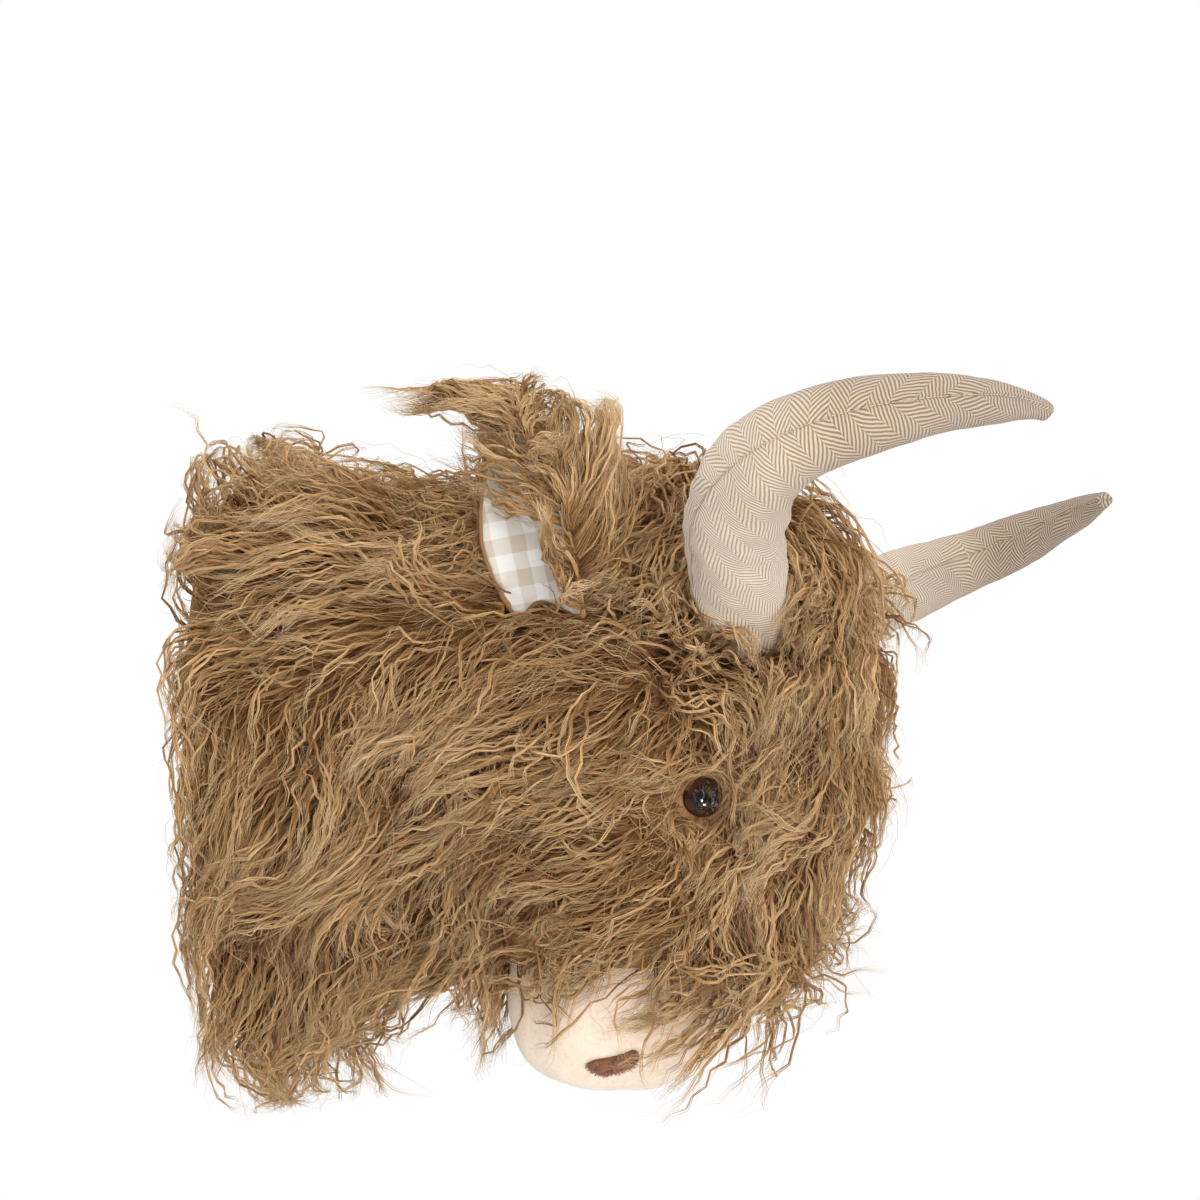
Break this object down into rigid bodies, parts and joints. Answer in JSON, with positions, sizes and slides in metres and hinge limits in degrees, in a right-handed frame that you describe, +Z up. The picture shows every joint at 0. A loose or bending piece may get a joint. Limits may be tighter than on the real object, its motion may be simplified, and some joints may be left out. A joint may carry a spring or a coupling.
{
  "type": "plush wall trophy head",
  "caption": "Stuffed highland-cow head for a wall: shaggy fur neck on a board, drooping head, two cloth horns, flopping lined ears, glossy eyes.",
  "frame": {"origin": "on the wall plane, behind the middle of the neck, at the height of the board's middle", "axes": "+Z up, the head looks along -Y, the wall is the plane Y = 0, and the cow's left is +X"},
  "size_m": [0.4748, 0.4131, 0.3152],
  "materials": {
    "board": "bare medium-density fibreboard",
    "felt": "needled felt",
    "steel": "bright zinc-plated",
    "stuffing": "loose polyester fibre",
    "fur": "long shaggy faux fur",
    "gingham": "woven check cotton",
    "suede": "short brushed suedette",
    "nostril_suede": "brushed suedette",
    "horn_cloth": "woven herringbone",
    "eye_black": "gloss moulded",
    "eye_brown": "gloss painted",
    "eye_clear": "clear polished dome",
    "washer": "moulded"
  },
  "bodies": {
    "trophy": {"back_board": "board", "back_felt": "felt", "staples": "steel", "hanger_strap": "steel", "hanger_screws": "steel", "neck_stuffing": "stuffing", "neck_mane": "fur", "neck_side_left": "fur", "neck_side_right": "fur", "neck_throat": "fur", "crown_fur": "fur", "forehead_fur": "fur", "jaw_fur": "fur", "cheek_fur_left": "fur", "cheek_fur_right": "fur", "head_stuffing": "stuffing", "muzzle_stuffing": "stuffing", "muzzle_cover_left": "suede", "muzzle_cover_right": "suede", "nostril_left": "nostril_suede", "eye_core_left": "eye_black", "eye_iris_left": "eye_brown", "eye_dome_left": "eye_clear", "eye_washer_left": "washer", "horn_upper_left": "horn_cloth", "horn_lower_left": "horn_cloth", "horn_stuffing_left": "stuffing", "nostril_right": "nostril_suede", "eye_core_right": "eye_black", "eye_iris_right": "eye_brown", "eye_dome_right": "eye_clear", "eye_washer_right": "washer", "horn_upper_right": "horn_cloth", "horn_lower_right": "horn_cloth", "horn_stuffing_right": "stuffing"},
    "ring": {"hanger_ring": "steel"},
    "ear_left": {"ear_lining_left": "gingham", "ear_back_left": "fur"},
    "ear_right": {"ear_lining_right": "gingham", "ear_back_right": "fur"}
  },
  "joints": [
    {"name": "hanger_swing", "type": "hinge", "parent": "trophy", "child": "ring", "pos_m": [0, -0.0068, 0.0545], "axis": [-1, 0, 0], "range_deg": [0, 165]},
    {"name": "ear_flop_left", "type": "hinge", "parent": "trophy", "child": "ear_left", "pos_m": [0.08368, -0.1859, 0.04022], "axis": [-0.4906, 0.8711, -0.0236], "range_deg": [0, 30], "stiffness_Nm_per_rad": 0.05},
    {"name": "ear_flop_right", "type": "hinge", "parent": "trophy", "child": "ear_right", "pos_m": [-0.08368, -0.1859, 0.04022], "axis": [-0.4906, -0.8711, 0.0236], "range_deg": [0, 30], "stiffness_Nm_per_rad": 0.05}
  ]
}
